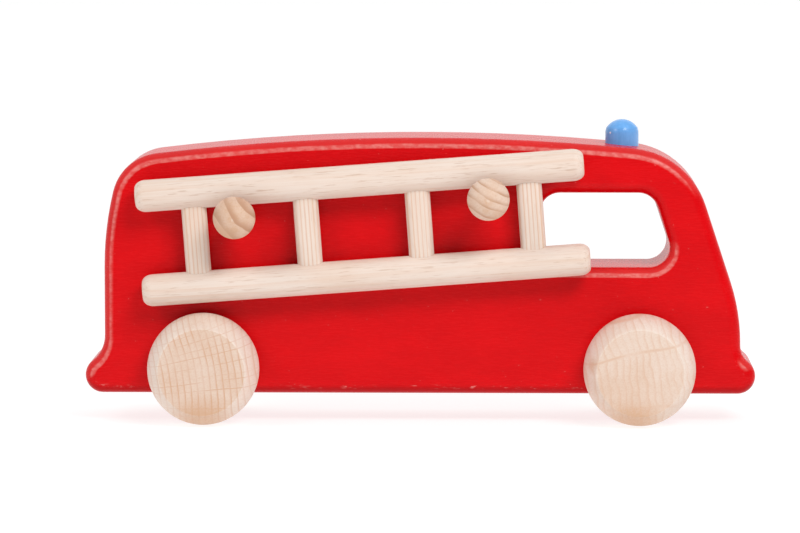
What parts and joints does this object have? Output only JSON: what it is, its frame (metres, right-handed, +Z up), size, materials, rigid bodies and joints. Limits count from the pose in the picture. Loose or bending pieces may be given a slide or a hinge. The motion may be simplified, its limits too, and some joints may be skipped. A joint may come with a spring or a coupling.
{
  "type": "toy fire engine",
  "caption": "Wooden toy fire engine: red profile-cut slab with a cab window, turned natural wheels on axles, a lift-off ladder hung on ball-headed pegs, and a blue roof beacon.",
  "frame": {"origin": "on the floor under the middle of the whole toy's bounding box; the slab's middle plane is 4.25 mm to +Y of it, because the ladder pegs stand out on the -Y side", "axes": "+X forward towards the cab, +Y to the toy's left, away from the ladder side, +Z up from the floor"},
  "size_m": [0.2404, 0.0864, 0.1079],
  "materials": {
    "red_slab": "red translucent stain with a satin coat",
    "natural_wood": "bare fine-sanded beech, waxed",
    "blue_beacon": "blue water-based paint, satin"
  },
  "bodies": {
    "root": {"body": "red_slab", "beacon": "blue_beacon", "front_peg": "natural_wood", "front_peg_ball": "natural_wood", "rear_peg": "natural_wood", "rear_peg_ball": "natural_wood"},
    "front_wheelset": {"front_axle": "natural_wood", "front_left_wheel": "natural_wood", "front_right_wheel": "natural_wood"},
    "rear_wheelset": {"rear_axle": "natural_wood", "rear_left_wheel": "natural_wood", "rear_right_wheel": "natural_wood"},
    "ladder": {"ladder_upper_rail": "natural_wood", "ladder_lower_rail": "natural_wood", "ladder_rung_1": "natural_wood", "ladder_rung_2": "natural_wood", "ladder_rung_3": "natural_wood", "ladder_rung_4": "natural_wood"}
  },
  "joints": [
    {"name": "front_axle_spin", "type": "hinge", "parent": "root", "child": "front_wheelset", "pos_m": [0.0785, 0.00425, 0.02], "axis": [0, 1, 0], "continuous": true},
    {"name": "rear_axle_spin", "type": "hinge", "parent": "root", "child": "rear_wheelset", "pos_m": [-0.0772, 0.00425, 0.02], "axis": [0, 1, 0], "continuous": true},
    {"name": "ladder_lift", "type": "slide", "parent": "root", "child": "ladder", "axis": [-0.0325, -0.8988, 0.4372], "range_m": [0, 0.06]}
  ]
}
